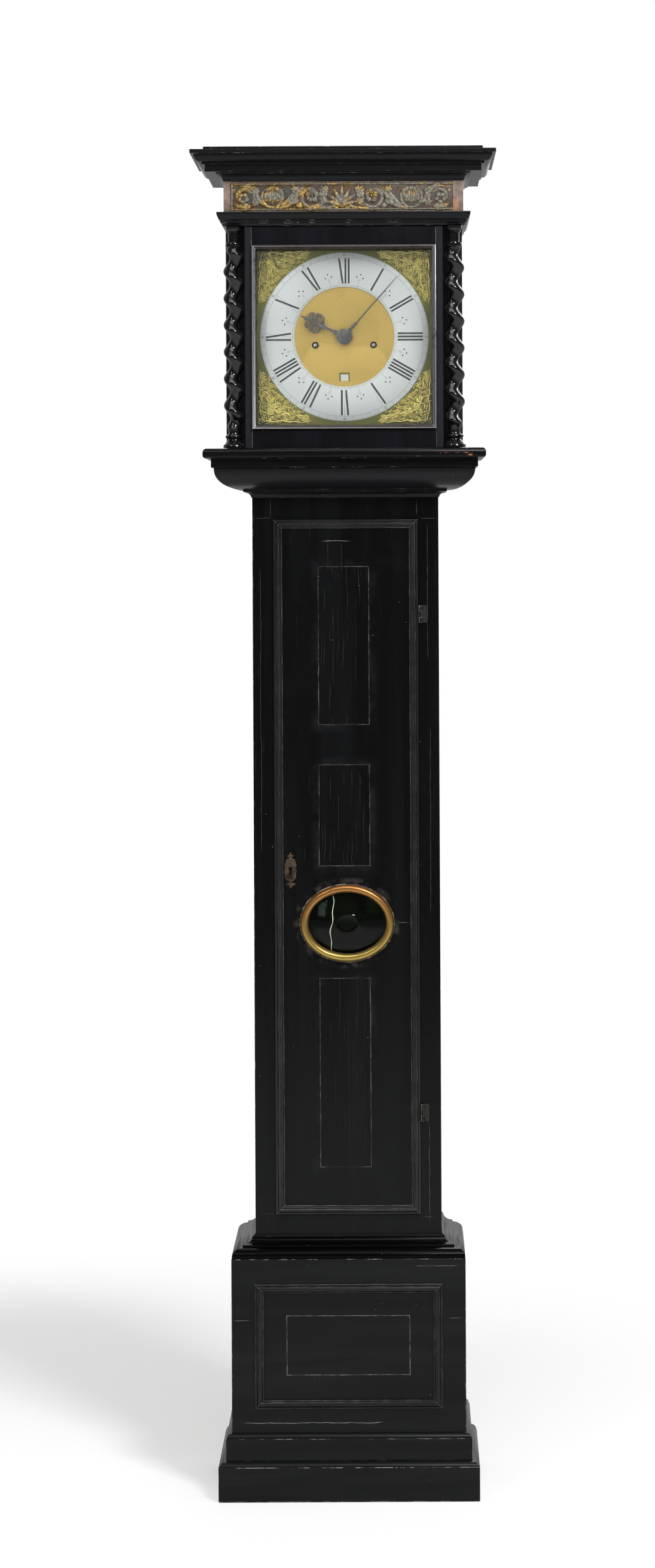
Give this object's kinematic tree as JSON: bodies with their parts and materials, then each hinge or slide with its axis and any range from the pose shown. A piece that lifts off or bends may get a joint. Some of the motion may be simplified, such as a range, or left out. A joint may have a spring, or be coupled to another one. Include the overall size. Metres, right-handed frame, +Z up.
{
  "type": "longcase clock",
  "caption": "Tall ebonised clock case with a lift-off hood on twist columns, glazed hood door, square brass dial, trunk door with an oval glass, weights and a long pendulum.",
  "frame": {"origin": "on the floor, under the middle of the clock's overall box", "axes": "+Z up, -Y out of the dial towards the viewer, +X to the viewer's right"},
  "size_m": [0.4722, 0.28, 2.0997],
  "materials": {
    "ebonised_wood": "black stained and polished wood, satin gloss, worn pale at its edges",
    "ebonised_base": "black stained wood, satin, slightly browner and duller than the trunk",
    "carved_frieze": "carved and gilded wood over a dark red ground, rubbed",
    "oak": "plain oak, unpolished",
    "brass": "old lacquered brass, soft polish",
    "gilt_brass": "fire-gilt cast brass",
    "dial_brass": "matted and gilt brass dial plate, olive with age",
    "silvered_brass": "silvered brass, satin",
    "silver_edge": "ebonised moulding with bright worn edges",
    "blued_steel": "blued and polished steel",
    "steel": "polished steel",
    "iron": "dark forged iron",
    "weight_brass": "brass case filled with lead",
    "bell_metal": "bell metal, turned",
    "clear_glass": "thin clear old glass",
    "green_glass": "blown greenish bull's-eye glass",
    "gut": "twisted gut line"
  },
  "bodies": {
    "case": {"backboard": "oak", "base_left_side": "ebonised_base", "base_right_side": "ebonised_base", "base_front": "ebonised_base", "base_panel_moulding": "ebonised_base", "plinth_lower": "ebonised_base", "plinth_upper": "ebonised_base", "waist_moulding": "ebonised_base", "trunk_left_side": "ebonised_wood", "trunk_right_side": "ebonised_wood", "trunk_front_frame": "ebonised_wood", "throat_moulding": "ebonised_wood", "seatboard": "oak", "door_hinge_upper_stile_leaf": "brass", "door_hinge_lower_stile_leaf": "brass", "movement_frame": "brass", "dial_plate": "dial_brass", "chapter_ring": "silvered_brass", "spandrel_upper_left": "gilt_brass", "spandrel_upper_right": "gilt_brass", "spandrel_lower_left": "gilt_brass", "spandrel_lower_right": "gilt_brass", "bell": "bell_metal", "line_strike": "gut", "line_going": "gut"},
    "trunk_door": {"trunk_door_board": "ebonised_wood", "trunk_door_moulding": "ebonised_wood", "lenticle_ring": "brass", "lenticle_glass": "green_glass", "escutcheon": "brass", "lock_case": "iron", "door_hinge_upper_door_leaf": "brass", "door_hinge_lower_door_leaf": "brass"},
    "lock_bolt": {"lock_bolt": "iron"},
    "hood": {"hood_base": "ebonised_wood", "hood_left_side": "ebonised_wood", "hood_right_side": "ebonised_wood", "hood_left_glass": "clear_glass", "hood_right_glass": "clear_glass", "hood_mask": "ebonised_wood", "architrave": "ebonised_wood", "frieze": "carved_frieze", "cornice": "ebonised_wood", "top_board": "ebonised_wood"},
    "hood_door": {"hood_door_frame": "ebonised_wood", "hood_door_moulding": "silver_edge", "hood_door_glass": "clear_glass", "column_left": "ebonised_wood", "column_right": "ebonised_wood"},
    "hour_hand": {"hour_hand": "blued_steel"},
    "minute_hand": {"minute_hand": "blued_steel"},
    "date_ring": {"date_ring": "silvered_brass"},
    "barrel_strike": {"barrel_strike": "brass"},
    "barrel_going": {"barrel_going": "brass"},
    "escape_wheel": {"escape_wheel": "brass"},
    "anchor": {"anchor": "steel"},
    "pendulum": {"pendulum_rod": "steel", "pendulum_bob": "brass"},
    "weight_strike": {"weight_strike": "weight_brass"},
    "weight_going": {"weight_going": "weight_brass"}
  },
  "joints": [
    {"name": "trunk_door_hinge", "type": "hinge", "parent": "case", "child": "trunk_door", "pos_m": [0.1175, -0.05495, 0.98], "axis": [0, 0, 1], "range_deg": [0, 110]},
    {"name": "lock_bolt_slide", "type": "slide", "parent": "trunk_door", "child": "lock_bolt", "axis": [-1, 0, 0], "range_m": [0, 0.009]},
    {"name": "hood_slide", "type": "slide", "parent": "case", "child": "hood", "axis": [0, -1, 0], "range_m": [0, 0.26]},
    {"name": "hood_door_hinge", "type": "hinge", "parent": "hood", "child": "hood_door", "pos_m": [0.1818, -0.06815, 1.806], "axis": [0, 0, 1], "range_deg": [0, 95]},
    {"name": "minute_hand_turn", "type": "hinge", "parent": "case", "child": "minute_hand", "pos_m": [0, -0.06, 1.8084], "axis": [0, 1, 0], "continuous": true},
    {"name": "hour_hand_turn", "type": "hinge", "parent": "case", "child": "hour_hand", "pos_m": [0, -0.056, 1.8084], "axis": [0, 1, 0], "continuous": true},
    {"name": "date_ring_turn", "type": "hinge", "parent": "case", "child": "date_ring", "pos_m": [0, -0.0465, 1.8084], "axis": [0, 1, 0], "continuous": true},
    {"name": "weight_strike_fall", "type": "slide", "parent": "case", "child": "weight_strike", "axis": [0, 0, 1], "range_m": [-0.8, 0.45], "deforming": ["line_strike"]},
    {"name": "weight_going_fall", "type": "slide", "parent": "case", "child": "weight_going", "axis": [0, 0, 1], "range_m": [-0.74, 0.5], "deforming": ["line_going"]},
    {"name": "barrel_strike_turn", "type": "hinge", "parent": "case", "child": "barrel_strike", "pos_m": [-0.0455, 0.00295, 1.7954], "axis": [0, 1, 0], "range_deg": [-3669, 2065]},
    {"name": "barrel_going_turn", "type": "hinge", "parent": "case", "child": "barrel_going", "pos_m": [0.0455, 0.00295, 1.7954], "axis": [0, 1, 0], "range_deg": [-3394, 2294]},
    {"name": "escape_wheel_turn", "type": "hinge", "parent": "case", "child": "escape_wheel", "pos_m": [0, 0.02655, 1.8454], "axis": [0, 1, 0], "continuous": true},
    {"name": "pendulum_swing", "type": "hinge", "parent": "case", "child": "pendulum", "pos_m": [0, 0.06205, 1.8854], "axis": [0, 1, 0], "range_deg": [-3, 3]},
    {"name": "anchor_swing", "type": "hinge", "parent": "case", "child": "anchor", "pos_m": [0, 0.02, 1.8854], "axis": [0, 1, 0], "range_deg": [-3, 3]}
  ],
  "couplings": [
    {"joint": "hour_hand_turn", "follows": "minute_hand_turn", "ratio": 0.083333},
    {"joint": "barrel_strike_turn", "follows": "weight_strike_fall", "rad_per_m": 80},
    {"joint": "barrel_going_turn", "follows": "weight_going_fall", "rad_per_m": 80},
    {"joint": "anchor_swing", "follows": "pendulum_swing", "ratio": 1}
  ]
}
